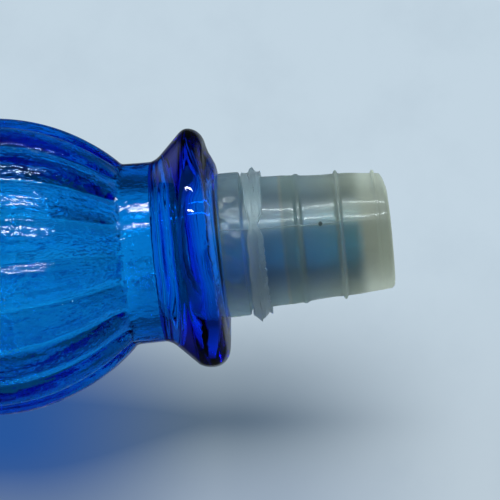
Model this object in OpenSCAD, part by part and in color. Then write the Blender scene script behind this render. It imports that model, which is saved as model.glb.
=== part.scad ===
// Fluted glass scent bottle with a ring on its neck, a plain mouth tube above the ring, and a ribbed
// translucent stopper cap pushed over the tube. Millimetres, +Z along the bottle's axis, origin at the
// centre of the face it stands on.

/* [Glass body] */
// Largest radius of the body, over the flute crests
body_r = 24; // [22:0.1:26]
// Height of the widest part
belly_z = 28; // [26:0.5:31]
// Height at which the body meets the neck
shoulder_z = 50; // [49:0.5:52]
// Radius of the body where it meets the foot
heel_r = 15.8; // [15:0.1:17]
// Number of flutes
flutes = 20; // [12:1:24]
// Depth of a flute's valley below its crest
flute_depth = 1.1; // [0.5:0.1:1.5]
// Thickness of the glass wall under the flute crests
wall = 3.4; // [3:0.1:4]

/* [Foot] */
// Outer radius of the foot
foot_r = 15.2; // [14.6:0.1:15.4]
// Inner radius of the ring that touches the table
punt_r = 10.5; // [8:0.5:12]
// Height of the hollow under the base
punt_h = 2; // [1:0.5:3]
// Thickness of the base, from the table to the inside
base_t = 6; // [5:0.5:8]

/* [Neck and ring] */
// Outer radius of the neck
neck_r = 14.6; // [14:0.1:15.5]
// Length of the plain neck below the ring
neck_len = 5.7; // [4:0.05:8]
// Inner radius of the neck
neck_bore_r = 10.8; // [9:0.1:11.6]
// Radius of the ring at its crest
ring_r = 19.35; // [18:0.05:21]
// Radius of the ring's rounded edge
ring_edge_r = 2.7; // [2.4:0.1:3.6]
// Radius of the flat seat at the middle of the ring's upper face
seat_r = 12.4; // [12:0.1:13]
// Radius of the rounded hollow inside the ring
ring_hollow_r = 2; // [1:0.1:3]
// How far the ring's upper face rises to its seat
seat_rise = 1; // [0.2:0.1:1.5]

/* [Mouth tube] */
// Outer radius of the glass mouth tube
tube_r = 7.7; // [7.4:0.1:8.2]
// Radius of the bore through the ring's upper face and the mouth tube
mouth_r = 5.5; // [5:0.1:6.2]
// Length of the mouth tube above the seat
tube_len = 22.5; // [20:0.5:24]

/* [Stopper cap] */
// Radial clearance between the cap and the mouth tube
cap_fit = 0.05; // [0.02:0.01:0.1]
// Gap between the seat and the cap's open end
cap_gap = 0.1; // [0.05:0.05:0.5]
// Outer radius of the cap's hub, next to the ring
hub_r = 11.6; // [11.4:0.05:12.5]
// Length of the hub
hub_len = 3.5; // [3:0.1:4]
// Outer radius of the cap between the hub and its first rib
barrel_r = 10.55; // [10.2:0.05:10.9]
// Outer radius of the cap above its first rib
waist_r = 10.15; // [9.8:0.05:10.3]
// Outer radius of the cap at its closed end
end_r = 9.3; // [9:0.1:9.8]
// Thickness of the cap's closed end
end_t = 2.5; // [2:0.1:4]
// Heights of the cap's three ribs above its open end
rib_heights = [12.5, 18.9, 24.8];
// How far a rib stands out of the cap
rib_proud = 0.5; // [0.3:0.1:0.8]
// Radius of a rib's rounded edge
rib_edge_r = 0.42; // [0.3:0.02:0.6]
// Depth of the groove inside the cap, below its first rib
groove_depth = 0.6; // [0.3:0.1:1]
// Length of the groove inside the cap
groove_len = 2.4; // [1.5:0.1:3]

/* [Sealing wad] */
// Thickness of the wad between the mouth and the cap's closed end
wad_t = 2; // [1:0.5:3]

/* [Torn collar] */
// Radial clearance between the loose collar and the cap
collar_fit = 0.35; // [0.3:0.05:0.5]
// Outer radius of the collar's rim
collar_r = 12.8; // [12.4:0.1:13.5]
// Length of the collar along the cap
collar_len = 3.1; // [1.8:0.1:3.3]
// Thickness of the collar's rim
collar_rim = 0.5; // [0.4:0.1:0.8]
// Gap between the hub and the collar
collar_gap = 0.3; // [0.3:0.1:1]

/* [Hidden] */
fine = 96;
eps = 0.01;

// Heights along the axis.
ring_bottom_z = shoulder_z + neck_len;
ring_crest_z = ring_bottom_z + (ring_r - ring_edge_r - neck_r) + sqrt(2) * ring_edge_r;
ring_face_z = ring_crest_z + ring_edge_r;
seat_z = ring_face_z + seat_rise;
tube_top_z = seat_z + tube_len;
cap_z = seat_z + cap_gap;
cap_bore_top_z = tube_top_z + wad_t;
cap_top_z = cap_bore_top_z + end_t;
collar_z = cap_z + hub_len + collar_gap;

// The body's side is two arcs that meet at the belly: one up to the shoulder, one down to the heel.
function arc_radius(rise, inset) = (rise * rise + inset * inset) / (2 * inset);
shoulder_step = 0.15;
upper_arc = arc_radius(shoulder_z - belly_z, body_r - neck_r - shoulder_step);
lower_arc = arc_radius(belly_z, body_r - heel_r);
function arc_at(z) = z > belly_z ? upper_arc : lower_arc;
function side_r(z) = body_r - arc_at(z) + sqrt(pow(arc_at(z), 2) - pow(z - belly_z, 2));

// A flute is a sharp valley between two broad crests. Its depth runs out at the heel and at the neck.
valley_sharpness = 0.8;
heel_z = 1.2;
heel_fade = 5;
shoulder_fade = 3.5;
function fade(z) = sqrt(max(0, min(1, (z - heel_z) / heel_fade, (shoulder_z - z) / shoulder_fade)));
function valley(a) = 1 - pow(abs(sin(a * flutes / 2)), valley_sharpness);
function flute_r(z, a) = side_r(z) - flute_depth * fade(z) * valley(a);

// Rings of points up the fluted side, closer together at its two ends, and a lid inside the neck.
side_rings = 24;
points_per_flute = 6;
around = flutes * points_per_flute;
function ring_z(i) = heel_z + (shoulder_z - heel_z) * (1 - cos(180 * i / side_rings)) / 2;
function circle_point(r, k) = [r * cos(360 * k / around), r * sin(360 * k / around)];
lid_r = neck_r - 1;
lid_z = shoulder_z + 0.6;

module fluted_side() {
    points = [
        for (i = [0:side_rings]) for (k = [0:around - 1])
            let (z = ring_z(i)) [each circle_point(flute_r(z, 360 * k / around), k), z],
        for (k = [0:around - 1]) [each circle_point(lid_r, k), lid_z]
    ];
    rows = side_rings + 1;
    walls = [
        for (i = [0:rows - 1]) for (k = [0:around - 1])
            let (n = (k + 1) % around, a = i * around, b = a + around)
            each [[a + k, b + k, b + n], [a + k, b + n, a + n]]
    ];
    bottom = [for (k = [0:around - 1]) k];
    top = [for (k = [around - 1:-1:0]) rows * around + k];
    polyhedron(points, concat(walls, [bottom, top]), convexity = 4);
}

// Foot: a short disc with a rounded lower edge.
foot_edge_r = 1.2;
foot_top_z = 3;
module foot() {
    rotate_extrude($fn = fine) {
        square([foot_r - foot_edge_r, foot_top_z]);
        translate([0, foot_edge_r]) square([foot_r, foot_top_z - foot_edge_r]);
        translate([foot_r - foot_edge_r, foot_edge_r]) circle(r = foot_edge_r, $fn = fine);
    }
}

// The shallow hollow under the base, which lifts its middle off the table.
module punt() {
    punt_sphere_r = arc_radius(punt_r, punt_h);
    translate([0, 0, punt_h - punt_sphere_r]) sphere(r = punt_sphere_r, $fn = fine);
}

// Neck, ring with its seat, and mouth tube.
module neck_ring_and_tube() {
    neck_root = 3;
    edge_x = ring_r - ring_edge_r;
    edge_cos = ring_edge_r / sqrt(2);
    rotate_extrude($fn = fine) {
        translate([0, shoulder_z - neck_root])
            square([neck_r, ring_bottom_z - shoulder_z + neck_root + eps]);
        polygon([[0, ring_bottom_z], [neck_r, ring_bottom_z], [edge_x + edge_cos, ring_crest_z - edge_cos],
                 [edge_x, ring_face_z], [seat_r, seat_z], [0, seat_z]]);
        translate([edge_x, ring_crest_z]) circle(r = ring_edge_r, $fn = fine);
        translate([0, seat_z - eps]) square([tube_r, tube_len + eps]);
    }
}

// The inside: a rounded chamber, the neck's wide bore, a rounded hollow in the ring, a funnel and the
// mouth's bore.
module inside() {
    funnel_z = ring_crest_z - 1;
    funnel_len = 2.2;
    chamber_top_z = shoulder_z - 1;
    inner_upper = upper_arc - wall;
    inner_lower = lower_arc - wall;
    corner = 4;
    hollow_inset = 0.6;
    hollow_drop = 1.4;
    rotate_extrude($fn = fine) {
        intersection() {
            translate([body_r - upper_arc, belly_z]) circle(r = inner_upper, $fn = 4 * fine);
            translate([0, belly_z]) square([body_r, chamber_top_z - belly_z]);
        }
        intersection() {
            translate([body_r - lower_arc, belly_z]) circle(r = inner_lower, $fn = 4 * fine);
            polygon([[0, base_t], [heel_r - corner, base_t], [heel_r + corner, base_t + corner],
                     [body_r, belly_z + eps], [0, belly_z + eps]]);
        }
        translate([0, belly_z]) square([neck_bore_r, funnel_z - belly_z]);
        polygon([[0, funnel_z - eps], [neck_bore_r, funnel_z - eps], [neck_bore_r, funnel_z],
                 [mouth_r, funnel_z + funnel_len], [0, funnel_z + funnel_len]]);
        translate([neck_bore_r - hollow_inset, ring_crest_z - hollow_drop])
            circle(r = ring_hollow_r, $fn = fine);
        translate([0, funnel_z]) square([mouth_r, tube_top_z - funnel_z + 1]);
    }
}

module bottle() {
    color([0.02, 0.38, 0.85, 0.6])
        difference() {
            union() {
                fluted_side();
                foot();
                neck_ring_and_tube();
            }
            inside();
            punt();
        }
}

// Outer radius of the cap's upper barrel at a height above its open end.
cap_len = cap_top_z - cap_z;
function barrel_at(h) = waist_r + (end_r - waist_r) * (h - rib_heights[0]) / (cap_len - rib_heights[0]);

module cap_rib(h) {
    translate([barrel_at(h) + rib_proud - rib_edge_r, h]) circle(r = rib_edge_r, $fn = 48);
    translate([barrel_at(h) - rib_edge_r, h - rib_edge_r]) square([rib_proud, 2 * rib_edge_r]);
}

// The cap's outside: hub, lower barrel, upper barrel with a rounded end, and ribs.
module cap_outline() {
    end_edge_r = 1;
    shoulder_h = cap_len - end_edge_r;
    step_h = 0.5;
    square([hub_r, hub_len]);
    square([barrel_r, rib_heights[0] - step_h]);
    polygon([[0, 0], [barrel_r, 0], [barrel_r, rib_heights[0] - step_h], [waist_r, rib_heights[0] + step_h],
             [barrel_at(shoulder_h), shoulder_h], [end_r - end_edge_r, cap_len], [0, cap_len]]);
    translate([barrel_at(shoulder_h) - end_edge_r, shoulder_h]) circle(r = end_edge_r, $fn = 48);
    for (h = rib_heights) cap_rib(h);
}

module stopper_cap() {
    bore_r = tube_r + cap_fit;
    lead_in = 0.5;
    color([0.72, 0.76, 0.66, 0.8])
        translate([0, 0, cap_z])
            difference() {
                rotate_extrude($fn = fine) cap_outline();
                translate([0, 0, -1]) cylinder(r = bore_r, h = cap_bore_top_z - cap_z + 1, $fn = fine);
                translate([0, 0, -eps])
                    cylinder(r1 = bore_r + lead_in, r2 = bore_r, h = lead_in, $fn = fine);
                translate([0, 0, rib_heights[0] - groove_len])
                    cylinder(r = bore_r + groove_depth, h = groove_len, $fn = fine);
            }
}

module sealing_wad() {
    wad_fit = 0.05;
    color([0.55, 0.42, 0.3])
        translate([0, 0, tube_top_z]) cylinder(r = tube_r + cap_fit - wad_fit, h = wad_t, $fn = fine);
}

// The flange that was torn off the cap: a thin cone with a blunt rim, loose around the barrel.
module torn_collar() {
    inner_r = barrel_r + collar_fit;
    root_t = 0.45;
    color([0.8, 0.83, 0.78, 0.8])
        translate([0, 0, collar_z])
            rotate_extrude($fn = fine)
                polygon([[inner_r, 0], [inner_r + root_t, 0], [collar_r, collar_len / 2 - collar_rim / 2],
                         [collar_r, collar_len / 2 + collar_rim / 2], [inner_r + root_t, collar_len],
                         [inner_r, collar_len]]);
}

bottle();
stopper_cap();
sealing_wad();
torn_collar();
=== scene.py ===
import math

import bpy
import numpy as np
from mathutils import Matrix, Vector


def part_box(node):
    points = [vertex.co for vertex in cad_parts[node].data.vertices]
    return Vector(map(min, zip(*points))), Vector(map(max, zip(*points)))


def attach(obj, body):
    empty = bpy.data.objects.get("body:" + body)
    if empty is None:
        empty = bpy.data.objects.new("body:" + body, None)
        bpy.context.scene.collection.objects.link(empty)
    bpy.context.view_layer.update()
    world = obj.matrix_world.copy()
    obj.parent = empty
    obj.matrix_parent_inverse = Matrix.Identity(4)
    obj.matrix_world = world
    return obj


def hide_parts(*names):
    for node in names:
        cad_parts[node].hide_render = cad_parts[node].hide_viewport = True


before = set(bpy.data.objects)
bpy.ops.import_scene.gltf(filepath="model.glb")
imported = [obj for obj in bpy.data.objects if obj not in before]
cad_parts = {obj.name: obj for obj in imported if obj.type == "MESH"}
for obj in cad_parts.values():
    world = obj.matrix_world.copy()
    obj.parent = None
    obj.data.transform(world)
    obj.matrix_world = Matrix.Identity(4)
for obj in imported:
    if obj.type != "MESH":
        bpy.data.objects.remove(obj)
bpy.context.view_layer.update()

MM = 0.001

# Places and sizes read from the frame, in metres.
bottle_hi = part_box("bottle")[1]
cap_lo, cap_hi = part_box("stopper_cap")
wad_lo, wad_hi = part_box("sealing_wad")
collar_lo, collar_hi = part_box("torn_collar")

tube_top_z = bottle_hi.z
tube_r = wad_hi.x
cap_gap = 0.1 * MM  # between the ring and the cap
seat_z = cap_lo.z - cap_gap
hub_r = cap_hi.x
bore_clearance = 0.05 * MM
bore_r = tube_r + bore_clearance
bore_top_z = wad_hi.z


# ---------------------------------------------------------------- shape helpers


def arc(r, z, radius, start, end, steps):
    """Points on an arc about (r, z), from angle start to angle end in degrees, 0 pointing outwards."""
    turns = np.radians(np.linspace(start, end, steps))
    return [(r + radius * math.cos(t), z + radius * math.sin(t)) for t in turns]


def line(a, b, steps):
    """Points on a straight line from a to b, both ends included."""
    return [tuple(np.array(a) * (1 - t) + np.array(b) * t) for t in np.linspace(0, 1, steps)]


def smooth_curve(knots, steps):
    """Points on a smooth curve through (radius, height) knots, evenly spread between them."""
    knots = np.array(knots, float)
    ends = np.vstack([2 * knots[0] - knots[1], knots, 2 * knots[-1] - knots[-2]])
    points = []
    for a, b, c, d in zip(ends, ends[1:], ends[2:], ends[3:]):
        for t in np.linspace(0, 1, steps, endpoint=False):
            slope_b, slope_c = (c - a) / 2, (d - b) / 2
            points.append(
                b * (2 * t**3 - 3 * t**2 + 1)
                + slope_b * (t**3 - 2 * t**2 + t)
                + c * (3 * t**2 - 2 * t**3)
                + slope_c * (t**3 - t**2)
            )
    points.append(knots[-1])
    return [tuple(p) for p in points]


def without_repeats(points, gap=1e-6):
    kept = [points[0]]
    for p in points[1:]:
        if math.dist(p, kept[-1]) > gap:
            kept.append(p)
    return kept


def waves(angle, z, orders, seed, height=0.03):
    """A random ripple that closes on itself round the axis and drifts slowly along it, about -1 to 1."""
    rng = np.random.default_rng(seed)
    total = np.zeros(np.broadcast(angle, z).shape)
    for order in orders:
        phase, drift = rng.uniform(0, 2 * np.pi), rng.uniform(-1, 1) * 2 * np.pi / height
        total = total + np.cos(order * angle + phase + drift * z)
    return total / math.sqrt(len(orders))


def smoothstep(low, high, value):
    t = np.clip((value - low) / (high - low), 0, 1)
    return t * t * (3 - 2 * t)


def hill(value, middle, width, power=2):
    """1 at the middle, falling to nothing on both sides. A higher power makes its top flatter."""
    return np.exp(-(((value - middle) / width) ** power))


def revolve(name, outline, segments, bend=None, loop=False):
    """Mesh swept round Z from (radius, height) points. bend(r, z, angle) may move each ring's points.
    An outline that isn't a loop starts and ends on the axis."""
    outline = np.array(without_repeats(outline), float)
    body = outline if loop else outline[1:-1]
    angle = np.linspace(0, 2 * np.pi, segments, endpoint=False)[None, :]
    r = np.repeat(body[:, :1], segments, axis=1)
    z = np.repeat(body[:, 1:], segments, axis=1)
    if bend:
        r, z = bend(r, z, angle)
    rings = np.stack([r * np.cos(angle), r * np.sin(angle), z], axis=2).reshape(-1, 3)
    count = len(body)
    k = np.arange(segments)
    after = (k + 1) % segments
    faces = []
    for i in range(count if loop else count - 1):
        a, b = i * segments, (i + 1) % count * segments
        faces += np.stack([a + k, a + after, b + after, b + k], axis=1).tolist()
    points = rings.tolist()
    if not loop:
        first, last = len(points), len(points) + 1
        points += [(0, 0, outline[0, 1]), (0, 0, outline[-1, 1])]
        top = (count - 1) * segments
        faces += [(first, n, m) for m, n in zip(k.tolist(), after.tolist())]
        faces += [(last, top + m, top + n) for m, n in zip(k.tolist(), after.tolist())]
    return new_piece(name, points, faces)


def new_piece(name, points, faces):
    mesh = bpy.data.meshes.new(name)
    mesh.from_pydata(points, [], faces)
    mesh.update()
    mesh.polygons.foreach_set("use_smooth", [True] * len(mesh.polygons))
    piece = bpy.data.objects.new(name, mesh)
    bpy.context.scene.collection.objects.link(piece)
    return piece


# ---------------------------------------------------------------- node helpers


def srgb(red, green, blue):
    """A colour given as 0 to 255 screen values, as linear RGBA."""

    def linear(c):
        c = c / 255
        return c / 12.92 if c <= 0.04045 else ((c + 0.055) / 1.055) ** 2.4

    return (linear(red), linear(green), linear(blue), 1)


# Where a Mix node keeps its colours.
COLOUR_A, COLOUR_B, MIXED_COLOUR = 6, 7, 2


class Nodes:
    """Short calls that add and link the nodes of one material or world."""

    def __init__(self, tree):
        self.tree = tree
        tree.nodes.clear()

    def add(self, kind, props=None, **inputs):
        node = self.tree.nodes.new(kind)
        for key, value in (props or {}).items():
            setattr(node, key, value)
        for key, value in inputs.items():
            self.put(node.inputs[key.replace("_", " ")], value)
        return node

    def put(self, socket, value):
        if isinstance(value, bpy.types.NodeSocket):
            self.tree.links.new(value, socket)
        else:
            socket.default_value = value

    def math(self, operation, *values, clamp=False):
        node = self.tree.nodes.new("ShaderNodeMath")
        node.operation = operation
        node.use_clamp = clamp
        for socket, value in zip(node.inputs, values):
            self.put(socket, value)
        return node.outputs[0]

    def step(self, value, low, high, to_low=0.0, to_high=1.0):
        node = self.tree.nodes.new("ShaderNodeMapRange")
        node.interpolation_type = "SMOOTHSTEP"
        keys = ("Value", "From Min", "From Max", "To Min", "To Max")
        for key, v in zip(keys, (value, low, high, to_low, to_high)):
            self.put(node.inputs[key], v)
        return node.outputs[0]

    def mix(self, factor, a, b):
        node = self.tree.nodes.new("ShaderNodeMix")
        node.data_type = "RGBA"
        self.put(node.inputs["Factor"], factor)
        self.put(node.inputs[COLOUR_A], a)
        self.put(node.inputs[COLOUR_B], b)
        return node.outputs[MIXED_COLOUR]

    def noise(self, vector, scale, detail=3.0, rough=0.5):
        node = self.add("ShaderNodeTexNoise", Vector=vector, Scale=scale, Detail=detail, Roughness=rough)
        return node.outputs["Fac"]

    def stretch(self, vector, scale):
        node = self.add("ShaderNodeMapping", Vector=vector, Scale=scale)
        return node.outputs[0]

    def bump(self, height, distance, strength=1.0, normal=None):
        node = self.add("ShaderNodeBump", Height=height, Distance=distance, Strength=strength)
        if normal is not None:
            self.put(node.inputs["Normal"], normal)
        return node.outputs[0]


def new_material(name):
    material = bpy.data.materials.new(name)
    material.use_nodes = True
    return material, Nodes(material.node_tree)


def own_place(n):
    """The socket for an object's own place, and the sockets for the place's three parts."""
    place = n.add("ShaderNodeTexCoord").outputs["Object"]
    return place, n.add("ShaderNodeSeparateXYZ", Vector=place).outputs


def mix_shaders(n, factor, first, second):
    node = n.add("ShaderNodeMixShader")
    for socket, value in zip(node.inputs, (factor, first, second)):
        n.put(socket, value)
    return node.outputs[0]


def set_output(n, surface, volume=None):
    out = n.add("ShaderNodeOutputMaterial")
    n.put(out.inputs["Surface"], surface)
    if volume:
        n.put(out.inputs["Volume"], volume.outputs[0])


def let_light_through(n, shader, tint):
    """Lamps shine through the piece with a tint, and every other ray sees the shader."""
    shadow = n.add("ShaderNodeLightPath").outputs["Is Shadow Ray"]
    clear = n.add("ShaderNodeBsdfTransparent", Color=tint)
    return mix_shaders(n, shadow, shader, clear.outputs[0])


# ---------------------------------------------------------------- bottle


# The section's sizes in millimetres, as in the CAD.
FOOT_R, FOOT_EDGE = 15.2, 1.2
PUNT_R, PUNT_H = 10.5, 2.0
HEEL_R, HEEL_Z = 15.8, 1.2
BELLY_R, BELLY_Z = 24.0, 28.0
SHOULDER_Z = 50.0
NECK_R, NECK_BORE, NECK_FLARE = 14.6, 10.8, 0.15
WALL, BASE = 3.4, 6.0
RING_R, RING_EDGE = 19.35, 2.7
SEAT_R, SEAT_RISE = 12.4, 1.0
MOUTH_WALL, LIP = 2.2, 0.4

TUBE_R, SEAT_Z, TOP_Z = tube_r / MM, seat_z / MM, tube_top_z / MM
MOUTH_R = TUBE_R - MOUTH_WALL
CREST_R, CREST_Z = RING_R - RING_EDGE, SEAT_Z - SEAT_RISE - RING_EDGE
RING_BOTTOM = CREST_Z - math.sqrt(2) * RING_EDGE - (CREST_R - NECK_R)


def arc_radius(rise, inset):
    """Radius of an arc that starts upright and has come in by inset after rise."""
    return (rise**2 + inset**2) / (2 * inset)


UPPER_R = arc_radius(SHOULDER_Z - BELLY_Z, BELLY_R - NECK_R - NECK_FLARE)
LOWER_R = arc_radius(BELLY_Z, BELLY_R - HEEL_R)


def body_outside():
    """From the middle of the foot up to the shoulder."""
    punt = arc_radius(PUNT_R, PUNT_H)
    punt_half = math.degrees(math.asin(PUNT_R / punt))
    shoulder_turn = math.degrees(math.asin((SHOULDER_Z - BELLY_Z) / UPPER_R))
    heel_turn = math.degrees(math.asin((BELLY_Z - HEEL_Z) / LOWER_R))
    points = arc(0, PUNT_H - punt, punt, 90, 90 - punt_half, 12)
    points += line((PUNT_R, 0), (FOOT_R - FOOT_EDGE, 0), 5)
    points += arc(FOOT_R - FOOT_EDGE, FOOT_EDGE, FOOT_EDGE, -90, -10, 8)
    points += arc(BELLY_R - LOWER_R, BELLY_Z, LOWER_R, -heel_turn, 0, 56)
    return points + arc(BELLY_R - UPPER_R, BELLY_Z, UPPER_R, 0, shoulder_turn, 64)


def neck_outside():
    """From the shoulder over the ring and its seat up to the mouth, and over the mouth's lip."""
    half_square = RING_EDGE * 0.707
    points = smooth_curve(
        [(NECK_R + 0.05, SHOULDER_Z + 0.25), (NECK_R, SHOULDER_Z + 1), (NECK_R - 0.05, RING_BOTTOM - 1.4),
         (NECK_R + 0.02, RING_BOTTOM - 0.6), (NECK_R + 0.35, RING_BOTTOM + 0.15)], 8)
    slope_end = (CREST_R + half_square - 0.5, CREST_Z - half_square - 0.5)
    points += line((NECK_R + 0.8, RING_BOTTOM + 0.75), slope_end, 10)
    points += arc(CREST_R, CREST_Z, RING_EDGE, -45, 84, 30)
    points += smooth_curve(
        [(CREST_R - 1.2, SEAT_Z - SEAT_RISE + 0.3), (CREST_R - 2.6, SEAT_Z - 0.36), (SEAT_R, SEAT_Z),
         (TUBE_R + 0.8, SEAT_Z), (TUBE_R + 0.4, SEAT_Z + 0.02), (TUBE_R + 0.1, SEAT_Z + 0.16),
         (TUBE_R, SEAT_Z + 0.5)], 8)
    points += line((TUBE_R, SEAT_Z + 0.8), (TUBE_R, TOP_Z - 1.0), 40)
    points += arc(TUBE_R - LIP, TOP_Z - LIP, LIP, 0, 84, 7)
    points += line((TUBE_R - LIP - 0.1, TOP_Z), (MOUTH_R + LIP + 0.1, TOP_Z), 6)
    return points + arc(MOUTH_R + LIP, TOP_Z - LIP, LIP, 96, 180, 7)


def neck_inside():
    """Down the mouth's bore, round the ring's hollow and out over the shoulder."""
    hollow_r, hollow_z = NECK_BORE - 0.6, CREST_Z - 1.4
    points = line((MOUTH_R, TOP_Z - 1.2), (MOUTH_R, hollow_z + 4.8), 30)
    points += smooth_curve(
        [(MOUTH_R, hollow_z + 4.2), (MOUTH_R + 0.15, hollow_z + 3.2), (MOUTH_R + 1.3, hollow_z + 2.4),
         (hollow_r - 1.4, hollow_z + 2.2), (hollow_r + 0.5, hollow_z + 2.0), (hollow_r + 1.6, hollow_z + 1.2),
         (hollow_r + 2.0, hollow_z), (hollow_r + 1.6, hollow_z - 1.2), (hollow_r + 0.95, hollow_z - 2.2),
         (NECK_BORE + 0.12, hollow_z - 3.0), (NECK_BORE, hollow_z - 4.2)], 9)
    return points + smooth_curve(
        [(NECK_BORE, SHOULDER_Z + 4), (NECK_BORE + 0.02, SHOULDER_Z + 2.6),
         (NECK_BORE + 0.2, SHOULDER_Z + 0.6), (NECK_BORE + 0.85, SHOULDER_Z - 1.2),
         (NECK_BORE + 2.1, SHOULDER_Z - 2.9)], 9)


def chamber_inside():
    """From the shoulder down to the middle of the base."""
    inner_shoulder = 41
    inner_base = math.degrees(math.asin((BELLY_Z - BASE - 3.5) / (LOWER_R - WALL)))
    base_r = BELLY_R - LOWER_R + (LOWER_R - WALL) * math.cos(math.radians(inner_base))
    points = arc(BELLY_R - UPPER_R, BELLY_Z, UPPER_R - WALL, inner_shoulder, 0, 44)
    points += arc(BELLY_R - LOWER_R, BELLY_Z, LOWER_R - WALL, 0, -inner_base, 36)
    base_knots = [(base_r - 0.8, BASE + 2.2), (base_r - 3.0, BASE + 0.6), (base_r - 6, BASE), (0, BASE + 0.4)]
    return points + smooth_curve(base_knots, 9)


def bottle_outline():
    """The bottle's section: under the foot, up the outside, over the mouth and down the inside."""
    points = body_outside() + neck_outside() + neck_inside() + chamber_inside()
    return [(r * MM, z * MM) for r, z in points]


FLUTES = 20
FLUTE_DEPTH = 1.1 * MM
FLUTE_SHARPNESS = 0.55
PLEAT_PITCH = 2.3 * MM
FACE_LEAN = 0.55 * MM


def bend_bottle(r, z, angle):
    """Flutes on the body, and the slight unevenness of blown glass inside and out."""
    heel, shoulder = HEEL_Z * MM, SHOULDER_Z * MM
    inside = body_inside(r, z)
    fade = np.sqrt(np.clip(np.minimum((z - heel) / (5 * MM), (shoulder - z) / (2.6 * MM)), 0, 1))
    drift = 0.012 * waves(angle, z, (2, 3, 5), 1, 0.09)
    uneven = 1 + 0.16 * waves(angle, z, (3, 7, 11), 2, 0.05)
    valley = 1 - np.abs(np.sin((angle + drift) * FLUTES / 2)) ** FLUTE_SHARPNESS
    deeper_above = 1 + 0.3 * smoothstep(36 * MM, 45 * MM, z)
    outer_flute = FLUTE_DEPTH * uneven * valley * fade * deeper_above
    streaks = waves(angle, z, (47, 61, 83, 97, 118), 3, 0.02)
    swell = waves(angle, z, (2, 3, 4, 6), 4, 0.03)
    outer = -outer_flute + (0.03 * streaks * fade + 0.04 * swell * np.sqrt(fade)) * MM
    inner_fade = smoothstep(7 * MM, 12 * MM, z) * (1 - smoothstep(40 * MM, 49 * MM, z))
    inner_flute = 0.45 * FLUTE_DEPTH * valley * inner_fade
    inner = -inner_flute + (0.03 * streaks + 0.2 * swell) * MM * inner_fade
    in_ring = smoothstep(54 * MM, 57 * MM, z) * (1 - smoothstep(61 * MM, 63 * MM, z))
    pleats = np.cos(2 * np.pi * z / PLEAT_PITCH + 0.4 * waves(angle, 0 * z, (1, 2, 3, 5, 9), 5))
    inner = inner + in_ring * (0.17 * pleats + 0.05 * waves(angle, z, (2, 5, 7, 12), 6, 0.03)) * MM
    r = r + np.where(inside, inner, outer)
    on_face = smoothstep(59.5 * MM, 62.5 * MM, z) * smoothstep(13.2 * MM, 16.5 * MM, r)
    return r, z + FACE_LEAN * on_face * np.sin(np.radians(side_of(angle)))


INNER_WALL_Z = (5 * MM, 63.2 * MM)
NECK_MID_WALL, NECK_Z = 13.6 * MM, 49 * MM


def body_inside(r, z):
    """True for the points of the chamber's and the neck's inner wall."""
    radius = np.where(z > BELLY_Z * MM, UPPER_R, LOWER_R) * MM
    outer = BELLY_R * MM - radius + np.sqrt(np.clip(radius**2 - (z - BELLY_Z * MM) ** 2, 0, None))
    mid_wall = np.where(z > NECK_Z, NECK_MID_WALL, outer - WALL / 2 * MM)
    return (z > INNER_WALL_Z[0]) & (z < INNER_WALL_Z[1]) & (r < mid_wall)


GLASS_SKIN = (0.86, 0.97, 1, 1)
GLASS_DEPTH = (0.1, 0.828, 0.98, 1)
GLASS_DENSITY = 900.0
GLASS_SHADOW = (0.8, 0.92, 1, 1)


def glass_material():
    """Clear blue glass. Its skin is streaked and hammered below the ring, most in loose patches."""
    material, n = new_material("blue_blown_glass")
    place, parts = own_place(n)
    textured = n.math("SUBTRACT", 1.0, n.step(parts["Z"], 54.5 * MM, 56 * MM))
    patches = n.step(n.noise(n.stretch(place, (150, 150, 90)), 1.0, 2.0, 0.5), 0.42, 0.66, 0.5, 1.7)
    hammered = n.math("MULTIPLY", n.noise(n.stretch(place, (900, 900, 560)), 1.0, 2.0, 0.5), patches)
    streaks = n.noise(n.stretch(place, (1000, 1000, 110)), 1.0, 3.0, 0.6)
    swell = n.noise(place, 160, 2.0, 0.5)
    rough_skin = n.math("MULTIPLY", n.math("ADD", hammered, n.math("MULTIPLY", streaks, 0.3)), textured)
    skin = n.bump(rough_skin, 0.13 * MM, 1.0)
    skin = n.bump(swell, 0.3 * MM, 0.5, skin)
    shader = n.add("ShaderNodeBsdfPrincipled", Base_Color=GLASS_SKIN, Roughness=0.0, IOR=1.5, Normal=skin)
    n.put(shader.inputs["Transmission Weight"], 1.0)
    volume = n.add("ShaderNodeVolumeAbsorption", Color=GLASS_DEPTH, Density=GLASS_DENSITY)
    set_output(n, let_light_through(n, shader.outputs[0], GLASS_SHADOW), volume)
    return material


def make_bottle():
    piece = revolve("bottle_glass", bottle_outline(), 400, bend_bottle)
    piece.data.materials.append(glass_material())
    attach(piece, "bottle")
    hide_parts("bottle")


# ---------------------------------------------------------------- stopper cap

RIB_HEIGHTS = (12.5, 18.9, 24.8)
PARTING_ANGLE = math.radians(101.5 + 180)  # the sine of angle + this is positive on the half towards the lamps, which is painted milkier as if lit
WAX_NEAR_RING = (0.56, 0.73, 0.8, 1)
WAX_AT_END = (0.94, 0.94, 0.72, 1)
WAX_CLOUD = (0.5, 0.5, 0.4, 1)
GRIME = (0.46, 0.56, 0.42, 1)
GRIME_EDGE = (0.8, 0.7, 0.45, 1)
# Pale colour on the parting line: a real seam ridge, with a painted highlight along it.
SEAM_AND_GLINT = (0.85, 0.9, 0.9, 1)
SPECK = (0.12, 0.16, 0.14, 1)
SPECK_Z = 81.2 * MM
SPECK_HALF_HEIGHT = 0.42 * MM


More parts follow.
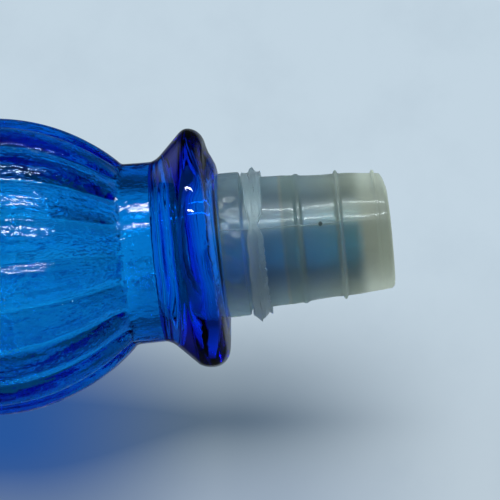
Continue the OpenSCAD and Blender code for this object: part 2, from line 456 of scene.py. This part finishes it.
def cap_outline():
    """The cap's section, from the middle of its closed end down the outside and up the bore."""
    open_z, end_z = cap_lo.z / MM, cap_hi.z / MM
    hub, bore, bore_top = hub_r / MM, bore_r / MM, bore_top_z / MM
    rib_1, rib_2, rib_3 = [open_z + h for h in RIB_HEIGHTS]
    hub_top = open_z + 3.5
    points = [(0, bore_top)]
    points += line((0.4, bore_top), (bore - 0.3, bore_top), 6)
    points += arc(bore - 0.15, bore_top - 0.15, 0.15, 90, 0, 5)
    points += line((bore, bore_top - 0.6), (bore, rib_1 + 0.05), 20)
    points += smooth_curve([(bore, rib_1), (bore + 0.75, rib_1 - 0.2), (bore + 0.9, rib_1 - 1.2),
                            (bore + 0.75, rib_1 - 2.2), (bore, rib_1 - 2.4)], 6)
    points += line((bore, rib_1 - 2.5), (bore, open_z + 0.6), 20)
    points += line((bore + 0.1, open_z + 0.35), (bore + 0.5, open_z), 4)
    points += line((bore + 0.8, open_z), (hub - 0.35, open_z), 6)
    points += arc(hub - 0.25, open_z + 0.25, 0.25, -90, 0, 5)
    points += line((hub, open_z + 0.4), (hub - 0.05, hub_top - 0.4), 10)
    points += arc(hub - 0.35, hub_top - 0.3, 0.3, 0, 90, 5)
    points += smooth_curve([(hub - 0.6, hub_top), (10.85, hub_top + 0.1), (10.66, hub_top + 0.5),
                            (10.58, hub_top + 2.2), (10.45, hub_top + 4.5), (10.42, rib_1 - 2.4),
                            (10.32, rib_1 - 1)], 7)
    points += rib(10.3, 10.22, rib_1, 0.2, 0.5)
    points += smooth_curve([(10.14, rib_1 + 0.8), (10.0, rib_1 + 2.2), (9.9, rib_2 - 2.2),
                            (9.9, rib_2 - 0.9)], 7)
    points += rib(9.93, 9.9, rib_2, 0.5, 0.38)
    points += smooth_curve([(9.88, rib_2 + 0.7), (9.78, rib_2 + 2.4), (9.56, rib_3 - 1.6),
                            (9.48, rib_3 - 0.8)], 7)
    points += rib(9.46, 9.38, rib_3, 0.55, 0.36)
    points += line((9.36, rib_3 + 0.6), (9.3, end_z - 0.95), 4)
    points += arc(8.5, end_z - 0.8, 0.8, 0, 84, 10)
    points += smooth_curve([(7.8, end_z - 0.03), (5, end_z), (2, end_z), (0, end_z)], 7)
    return [(r * MM, z * MM) for r, z in points]


def rib(below_r, above_r, z, proud, half):
    """One raised rib: straight sides and a rounded crest."""
    turns = np.linspace(-1, 1, 11)
    side = [(below_r + (above_r - below_r) * (t + 1) / 2, t) for t in turns]
    return [(r + proud * (1 - abs(t) ** 2.6), z + half * t) for r, t in side]


def side_of(angle):
    """Degrees round from the camera's side at rest, minus towards the picture's top."""
    return np.degrees(np.angle(np.exp(1j * (angle + math.pi / 2))))


def bend_cap(r, z, angle):
    """Dents, a chipped hub rim, a last rib that is whole on one side only, and a rubbed end."""
    rib_3, open_z, end_z = cap_lo.z + RIB_HEIGHTS[2] * MM, cap_lo.z, cap_hi.z
    side = side_of(angle)
    outside = r > 8.8 * MM
    dents = 0.05 * waves(angle, z, (2, 3, 5), 11, 0.02) + 0.03 * waves(angle, z, (7, 9, 13), 12, 0.012)
    on_hub = 1 - smoothstep(2.6 * MM, 3.8 * MM, z - open_z)
    chipped = on_hub * np.maximum(0.14 * waves(angle, z, (11, 17, 26, 31), 13, 0.004), -0.05)
    on_rib = np.clip((r - 9.44 * MM) / (0.5 * MM), 0, 1) * (np.abs(z - rib_3) < 0.5 * MM)
    worn = on_rib * 0.53 * (1 - hill(side, -80, 34, 4))
    rubbed = 0.7 * hill(side, -90, 42) * smoothstep(6.5 * MM, 9.2 * MM, r)
    rubbed = rubbed * smoothstep(end_z - 1.5 * MM, end_z, z)
    return r + np.where(outside, np.minimum(dents, 0.02) - chipped - worn, 0) * MM, z - rubbed * MM


def groove_marks(n, height, cloud):
    """Grime in the groove inside the cap, and a yellow line along the groove's lower edge."""
    top = cap_lo.z + RIB_HEIGHTS[0] * MM
    low_edge = top - 2.6 * MM
    wavy = n.math("ADD", height, n.math("MULTIPLY", n.math("SUBTRACT", cloud, 0.5), 0.8 * MM))
    starts = n.step(wavy, low_edge, top - 2.3 * MM)
    ends = n.step(wavy, top - 0.6 * MM, top + 0.4 * MM)
    from_edge = n.math("ABSOLUTE", n.math("SUBTRACT", wavy, low_edge))
    return n.math("SUBTRACT", starts, ends), n.step(from_edge, 0.05 * MM, 0.45 * MM, 1.0, 0.0)


def speck_mask(n, height, angle, half, fine):
    """A ragged speck on the parting line, on one side of the cap only."""
    away = n.math("DIVIDE", n.math("SUBTRACT", height, SPECK_Z), SPECK_HALF_HEIGHT)
    sideways = n.math("MULTIPLY", n.math("MULTIPLY", half, half), 420.0)
    away = n.math("ADD", n.math("MULTIPLY", away, away), sideways)
    ragged = n.math("ADD", away, n.math("MULTIPLY", fine, 1.6))
    turned = n.math("COSINE", n.math("ADD", angle, PARTING_ANGLE))
    return n.math("MULTIPLY", n.step(ragged, 0.9, 1.7, 1.0, 0.0), n.step(turned, -0.1, 0.1, 1.0, 0.0))


def cap_tint(n, height, marks):
    """The plastic's colour, with (mask, colour) marks laid over each other."""
    yellowing = n.step(height, seat_z + 9 * MM, bore_top_z + 1 * MM)
    tint = n.mix(yellowing, WAX_NEAR_RING, WAX_AT_END)
    for mask, colour in marks:
        tint = n.mix(mask, tint, colour)
    return tint


def cap_clearness(n, height, angle, marks):
    """How much light passes the cap: less at its solid end, its sides, its second rib and its marks."""
    solid_end = n.step(height, tube_top_z - 1.6 * MM, tube_top_z + 0.9 * MM)
    edge_on = n.math("ABSOLUTE", n.math("COSINE", angle))
    from_rib = n.math("ABSOLUTE", n.math("SUBTRACT", height, cap_lo.z + RIB_HEIGHTS[1] * MM))
    losses = [n.math("MULTIPLY", solid_end, 0.48)]
    losses += [n.math("MULTIPLY", mask, amount) for mask, amount in marks]
    losses += [n.step(edge_on, 0.45, 0.95, 0.0, 0.12), n.step(from_rib, 0.25 * MM, 0.6 * MM, 0.14, 0.0)]
    clear = 0.88
    for loss in losses:
        clear = n.math("SUBTRACT", clear, loss)
    return clear


def cap_skin(n, cloud, fine, seam_and_glint):
    skin = n.bump(fine, 0.02 * MM, 0.5)
    skin = n.bump(cloud, 0.2 * MM, 0.3, skin)
    return n.bump(seam_and_glint, 0.06 * MM, 1.0, skin)


def cap_material():
    """Waxy plastic, yellower towards its closed end. The half towards the lamps is painted milkier, as if
    lit: painted light, not a real difference between mould halves.
    """
    material, n = new_material("milky_polyethylene")
    place, parts = own_place(n)
    height, angle = parts["Z"], n.math("ARCTAN2", parts["Y"], parts["X"])
    cloud = n.noise(place, 260, 3.0, 0.55)
    fine = n.noise(place, 900, 3.0, 0.6)
    wander = n.math("MULTIPLY", n.math("SUBTRACT", fine, 0.5), 0.03)
    half = n.math("SINE", n.math("ADD", angle, n.math("ADD", wander, PARTING_ANGLE)))
    # Painted light: the half towards the lamps lets less light through, so it looks milkier, as if lit.
    lit_half = n.step(half, -0.012, 0.012)
    # The seam mask: a real ridge, bumped in cap_skin, and a painted highlight, pale and less clear along the
    # line.
    seam_and_glint = n.step(n.math("ABSOLUTE", half), 0.003, 0.016, 1.0, 0.0)
    seam_and_glint = n.math("MULTIPLY", seam_and_glint, n.step(height, SPECK_Z + 2 * MM, SPECK_Z + 4 * MM, 1.0, 0.1))
    grime, edge = groove_marks(n, height, cloud)
    speck = speck_mask(n, height, angle, half, fine)
    tint = cap_tint(n, height, (
        (n.math("MULTIPLY", cloud, 0.3), WAX_CLOUD),
        (n.math("MULTIPLY", grime, 0.5), GRIME),
        (n.math("MULTIPLY", edge, 0.4), GRIME_EDGE),
        (n.math("MULTIPLY", seam_and_glint, 0.6), SEAM_AND_GLINT),
        (speck, SPECK),
    ))
    scuffs = n.noise(n.stretch(place, (700, 700, 1500)), 1.0, 4.0, 0.7)
    rough = n.step(scuffs, 0.35, 0.75, 0.3, 0.44)
    skin = cap_skin(n, cloud, fine, seam_and_glint)
    shader = n.add("ShaderNodeBsdfPrincipled", Base_Color=tint, Roughness=rough, IOR=1.5, Normal=skin)
    clear = cap_clearness(n, height, angle, (
        # painted light: the half towards the lamps is made less clear
        (lit_half, 0.06),
        (n.math("MAXIMUM", grime, edge), 0.06),
        # painted highlight: the seam lets less light through, so it looks pale
        (seam_and_glint, n.step(fine, 0.4, 0.6, 0.15, 0.5)),
        (speck, 0.5),
    ))
    n.put(shader.inputs["Transmission Weight"], clear)
    n.put(shader.inputs["Specular IOR Level"], 0.05)
    n.put(shader.inputs["Coat Weight"], 0.24)
    n.put(shader.inputs["Coat Roughness"], 0.06)
    ripples = n.noise(n.stretch(place, (500, 500, 900)), 1.0, 2.0, 0.6)
    n.put(shader.inputs["Coat Normal"], n.bump(ripples, 0.045 * MM, 1.0))
    volume = n.add("ShaderNodeVolumeAbsorption", Color=(0.72, 0.76, 0.58, 1), Density=50.0)
    set_output(n, let_light_through(n, shader.outputs[0], (0.45, 0.47, 0.4, 1)), volume)
    return material


def make_cap():
    piece = revolve("cap_shell", cap_outline(), 192, bend_cap)
    piece.data.materials.append(cap_material())
    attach(piece, "cap")
    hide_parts("stopper_cap")


# ---------------------------------------------------------------- sealing wad


def make_wad():
    clearance = 0.02  # so that the cap turns over the wad without rubbing
    low, high = wad_lo.z / MM + clearance, wad_hi.z / MM - clearance
    r, edge = wad_hi.x / MM, 0.25
    points = [(0, low)] + line((0.5, low), (r - edge, low), 10)
    points += arc(r - edge, low + edge, edge, -90, 0, 5) + arc(r - edge, high - edge, edge, 0, 90, 5)
    points += line((r - edge, high), (0.5, high), 10) + [(0, high)]

    def bend(r, z, angle):
        crumble = 0.03 * waves(angle, z, (5, 9, 14, 23), 21, 0.004)
        return r + np.minimum(crumble, 0) * MM, z

    piece = revolve("wad_disc", [(r * MM, z * MM) for r, z in points], 96, bend)
    piece.data.materials.append(cork_material())
    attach(piece, "wad")
    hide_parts("sealing_wad")


def cork_material():
    material, n = new_material("pressed_cork")
    place = n.add("ShaderNodeTexCoord").outputs["Object"]
    grains = n.add("ShaderNodeTexVoronoi", Vector=place, Scale=1300.0)
    pores = n.noise(place, 3000, 3.0, 0.6)
    colour = n.mix(grains.outputs["Color"], srgb(150, 141, 120), srgb(178, 168, 146))
    colour = n.mix(n.step(pores, 0.6, 0.75), colour, srgb(104, 92, 74))
    skin = n.bump(pores, 0.06 * MM, 0.7)
    shader = n.add("ShaderNodeBsdfPrincipled", Base_Color=colour, Roughness=0.85, Normal=skin)
    set_output(n, shader.outputs[0])
    return material


# ---------------------------------------------------------------- torn collar


def make_collar():
    """A band round the barrel with what is left of a flange. In bend(), side is in degrees from the
    camera's side, plus downwards."""
    low, high, inner, band = collar_lo.z / MM, collar_hi.z / MM, 10.9, 11.35
    root = low + 0.52 * (high - low)
    full = collar_hi.x / MM - band
    outline = line((inner, low), (band - 0.12, low), 3) + line((band, low + 0.12), (band, root - 0.5), 6)
    outline += smooth_curve([(band + 0.02, root - 0.32), (band + 0.3 * full, root - 0.14),
                             (band + full, root - 0.05)], 5)
    outline += smooth_curve([(band + full, root + 0.05), (band + 0.3 * full, root + 0.14),
                             (band + 0.02, root + 0.32)], 5)
    outline += line((band, root + 0.5), (band, high - 0.12), 6) + line((band - 0.12, high), (inner, high), 3)
    outline += line((inner, high - 0.2), (inner, low + 0.2), 8)

    def bend(r, z, angle):
        r, z = r / MM, z / MM
        side = side_of(angle)
        upwards = np.clip((z - low) / (high - low), 0, 1)
        outwards = np.clip((r - band) / full, 0, 1)
        front = hill(side, 0, 68, 6)
        teeth = np.abs((side * 0.135 + 0.6 * waves(angle, 0 * z, (3, 5, 9), 31)) % 1 - 0.35)
        torn = 0.5 * teeth * hill(side, 28, 34, 4)
        pinch = 0.8 * hill(side, -14, 7)
        notch = 0.4 * hill(side, -14, 9)
        low_edge = 0.4 * front + notch + 0.1 * waves(angle, 0 * z, (4, 7, 12), 32)
        rise = -upwards * (torn + pinch) + (1 - upwards) * np.maximum(low_edge, 0)
        ragged = 0.12 * waves(angle, 0 * z, (17, 29, 41, 53), 33)
        tip = hill(side, 92, 16)
        behind = 0.55 * smoothstep(110, 130, np.abs(side))
        kept = np.clip(behind * (1 + ragged), 0, 1)
        hook = full * hill(side, 92, 15) * np.maximum(1 - np.abs(upwards - 0.42) / 0.42, 0)
        fin = 0.95 * hill(side, -92, 9) * np.maximum(1 - np.abs(upwards - 0.58) / 0.2, 0)
        curl = 0.28 * np.abs(2 * upwards - 1) ** 5 * (1 + 0.6 * waves(angle, 0 * z, (5, 9, 15), 36))
        r = np.where(r > band, band + outwards * full * kept, r)
        r = r + (0.05 * waves(angle, z, (2, 3), 34) + np.maximum(curl, 0) + hook + fin) * (r > inner + 0.1)
        sway = outwards * (0.35 * waves(angle, 0 * z, (2, 5, 8), 35) - 0.5 * tip)
        return np.minimum(r, band + full) * MM, np.clip(z + rise + sway, low, high) * MM

    piece = revolve("collar_strip", [(r * MM, z * MM) for r, z in outline], 540, bend, loop=True)
    piece.data.materials.append(collar_material())
    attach(piece, "collar")
    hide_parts("torn_collar")


def collar_material():
    """The cap's plastic, thinner and whiter where it was stretched."""
    material, n = new_material("torn_polyethylene")
    place = n.add("ShaderNodeTexCoord").outputs["Object"]
    cloud = n.noise(place, 500, 3.0, 0.6)
    tint = n.mix(cloud, (0.68, 0.78, 0.82, 1), (0.8, 0.87, 0.87, 1))
    skin = n.bump(n.noise(place, 1500, 3.0, 0.6), 0.02 * MM, 0.5)
    shader = n.add("ShaderNodeBsdfPrincipled", Base_Color=tint, Roughness=0.4, IOR=1.5, Normal=skin)
    n.put(shader.inputs["Transmission Weight"], 0.8)
    n.put(shader.inputs["Specular IOR Level"], 0.02)
    n.put(shader.inputs["Coat Weight"], 0.04)
    n.put(shader.inputs["Coat Roughness"], 0.12)
    set_output(n, let_light_through(n, shader.outputs[0], (0.6, 0.63, 0.6, 1)))
    return material


# ---------------------------------------------------------------- studio

TILT = math.radians(5.3)  # how far the bottle's axis rises to the right in the picture
LEAN = math.radians(2.1)  # how far the cap's end leans towards the camera
CAMERA_DISTANCE = 331 * MM
VIEW_WIDTH = 80.7 * MM
AIM = Vector((1.1 * MM, 0, 69.5 * MM))
SENSOR = 36.0
LAMP_COLOUR = (0.84, 0.96, 1)
LAMP_WIDTH, LAMP_LENGTH, LAMP_DISTANCE = 0.026, 0.5, 0.6
FLOOR_SOLID_R, FLOOR_R, FLOOR_CORNERS = 70 * MM, 150 * MM, 96

forward = Vector((0, math.cos(LEAN), -math.sin(LEAN)))
level_right = Vector((0, math.sin(LEAN), math.cos(LEAN)))
right = math.cos(TILT) * level_right + math.sin(TILT) * Vector((1, 0, 0))
up = math.sin(TILT) * level_right - math.cos(TILT) * Vector((1, 0, 0))


def make_camera():
    data = bpy.data.cameras.new("camera")
    data.sensor_width = SENSOR
    data.lens = SENSOR * CAMERA_DISTANCE / VIEW_WIDTH
    data.clip_start, data.clip_end = 0.01, 20
    camera = bpy.data.objects.new("camera", data)
    turn = Matrix((right, up, -forward)).transposed().to_4x4()
    camera.matrix_world = Matrix.Translation(AIM - forward * CAMERA_DISTANCE) @ turn
    bpy.context.scene.collection.objects.link(camera)
    bpy.context.scene.camera = camera


def strip_lamp(name, side_degrees, power):
    """A long narrow lamp parallel to the bottle, side_degrees from the camera towards the picture's top."""
    turn = math.radians(side_degrees)
    towards = -forward * math.cos(turn) + up * math.sin(turn)
    data = bpy.data.lights.new(name, "AREA")
    data.shape = "RECTANGLE"
    data.size, data.size_y = LAMP_WIDTH, LAMP_LENGTH
    data.energy = power
    data.color = LAMP_COLOUR
    lamp = bpy.data.objects.new(name, data)
    lamp.location = AIM + towards * LAMP_DISTANCE
    across = level_right.cross(towards).normalized()
    turned = Matrix((across, level_right, towards)).transposed()
    lamp.rotation_euler = turned.to_euler()
    lamp.visible_diffuse = False
    bpy.context.scene.collection.objects.link(lamp)


def along(n, direction, axis):
    """How far a direction points along an axis, -1 to 1."""
    node = n.add("ShaderNodeVectorMath", {"operation": "DOT_PRODUCT"})
    n.put(node.inputs[0], direction)
    n.put(node.inputs[1], tuple(axis))
    return node.outputs["Value"]


def pick(n, chosen, yes, no):
    """yes where chosen is 1, and no where it is 0."""
    rest = n.math("MULTIPLY", n.math("SUBTRACT", 1.0, chosen), no)
    return n.math("ADD", n.math("MULTIPLY", chosen, yes), rest)


def soft_shadow(n, across, below, depth):
    """The object's shadow, a ridge across the backdrop that widens to the left."""
    leftwards = n.step(across, -0.9, -0.1, 1.0, 0.0)
    off = n.math("SUBTRACT", below, n.math("ADD", 0.68, n.math("MULTIPLY", leftwards, 0.06)))
    off = n.math("SQRT", n.math("ADD", n.math("MULTIPLY", off, off), 0.002))
    spread = n.math("ADD", 0.2, n.math("MULTIPLY", leftwards, 0.5))
    ridge = n.math("DIVIDE", spread, n.math("ADD", off, spread))
    ridge = n.math("MULTIPLY", ridge, n.step(across, -0.1, 1.0, 1.2, 0.0))
    ridge = n.math("MULTIPLY", ridge, n.step(below, 0.06, 0.52))
    return n.math("MULTIPLY", ridge, n.step(depth, 0.3, 0.7))


def backdrop_colour(n, direction, depth, downwards, rightwards):
    """A pale backdrop with a soft shadow that turns blue to the left."""
    ahead = n.math("MAXIMUM", depth, 0.05)
    half_view = VIEW_WIDTH / 2 / CAMERA_DISTANCE
    across = n.math("DIVIDE", n.math("DIVIDE", rightwards, ahead), half_view)
    below = n.math("DIVIDE", n.math("DIVIDE", downwards, ahead), half_view)
    dark = n.mix(n.step(across, -1.0, -0.1), srgb(40, 86, 156), srgb(90, 109, 128))
    dark = n.mix(n.step(below, 0.74, 1.08, 0.0, 0.8), dark, srgb(72, 98, 142))
    pale = n.mix(n.step(below, -0.2, 0.9), srgb(195, 213, 226), srgb(187, 203, 215))
    clouds = n.step(n.noise(direction, 26, 4.0, 0.6), 0.4, 0.75, 0.0, 0.12)
    pale = n.mix(clouds, pale, srgb(160, 178, 194))
    return n.mix(soft_shadow(n, across, below, depth), pale, dark)


def light_behind_glass(n, depth, downwards):
    """How bright the room is for light that has passed through the glass: darker to the sides."""
    through = n.math("MULTIPLY", n.step(depth, 0.5, 0.98, 0.36, 1.0), n.step(depth, -0.4, 0.1, 0.6, 1.0))
    through = n.math("MULTIPLY", through, n.step(downwards, -0.58, -0.22, 0.4, 1.0))
    return n.math("MULTIPLY", through, n.step(downwards, 0.1, 0.6, 1.0, 0.62))


def light_in_mirror(n, depth, downwards, rightwards):
    """How bright the room is for reflections: dim, but for its ends and the part straight ahead."""
    endwards = n.step(n.math("ABSOLUTE", rightwards), 0.35, 0.6)
    endwards = n.math("MULTIPLY", endwards, n.step(depth, 0.3, 0.65))
    endwards = n.math("MULTIPLY", endwards, n.step(downwards, -0.3, 0.4, 0.4, 0.06))
    ahead = n.math("MULTIPLY", n.step(depth, 0.88, 1.0, 0.02, 0.3), n.step(downwards, 0.0, 0.4, 1.0, 2.0))
    return n.math("ADD", endwards, ahead)


def make_world():
    """The camera sees the backdrop as it is. Other rays see it darker or brighter, by their direction."""
    world = bpy.data.worlds.new("studio")
    world.use_nodes = True
    bpy.context.scene.world = world
    n = Nodes(world.node_tree)
    direction = n.add("ShaderNodeTexCoord").outputs["Generated"]
    depth, downwards, rightwards = [along(n, direction, axis) for axis in (forward, -up, right)]
    ray = n.add("ShaderNodeLightPath").outputs
    mirrored = n.math("MULTIPLY", ray["Is Glossy Ray"], ray["Is Reflection Ray"])
    scattered = n.step(depth, -0.7, 0.7, 0.3, 3.0)
    strength = pick(n, ray["Is Diffuse Ray"], scattered, light_behind_glass(n, depth, downwards))
    strength = pick(n, mirrored, light_in_mirror(n, depth, downwards, rightwards), strength)
    strength = pick(n, ray["Is Camera Ray"], 1.0, strength)
    colour = backdrop_colour(n, direction, depth, downwards, rightwards)
    background = n.add("ShaderNodeBackground", Color=colour, Strength=strength)
    out = n.add("ShaderNodeOutputWorld")
    n.put(out.inputs["Surface"], background.outputs[0])


def make_floor():
    """A pale round floor whose edge fades into the backdrop."""
    corners = np.linspace(0, 2 * np.pi, FLOOR_CORNERS, endpoint=False)
    points = [(FLOOR_R * math.cos(a), FLOOR_R * math.sin(a), 0) for a in corners]
    floor = new_piece("floor", points, [list(range(FLOOR_CORNERS))])
    material, n = new_material("pale_floor")
    place = n.add("ShaderNodeTexCoord").outputs["Object"]
    away = n.add("ShaderNodeVectorMath", {"operation": "LENGTH"}, Vector=place).outputs["Value"]
    paint = n.add("ShaderNodeBsdfPrincipled", Base_Color=srgb(224, 232, 238), Roughness=0.8)
    clear = n.add("ShaderNodeBsdfTransparent")
    fade = n.step(away, FLOOR_SOLID_R, FLOOR_R)
    set_output(n, mix_shaders(n, fade, paint.outputs[0], clear.outputs[0]))
    floor.data.materials.append(material)
    floor.visible_glossy = False  # its reflection would put grey patches on the ring


def make_studio():
    make_camera()
    make_world()
    make_floor()
    strip_lamp("high_lamp", 58, 1.7)
    strip_lamp("near_lamp", 36, 1.5)
    scene = bpy.context.scene
    scene.view_settings.view_transform = "Standard"
    scene.cycles.transparent_max_bounces = 32
    scene.cycles.max_bounces = 24
    scene.cycles.transmission_bounces = 24


make_studio()
make_bottle()
make_cap()
make_wad()
make_collar()
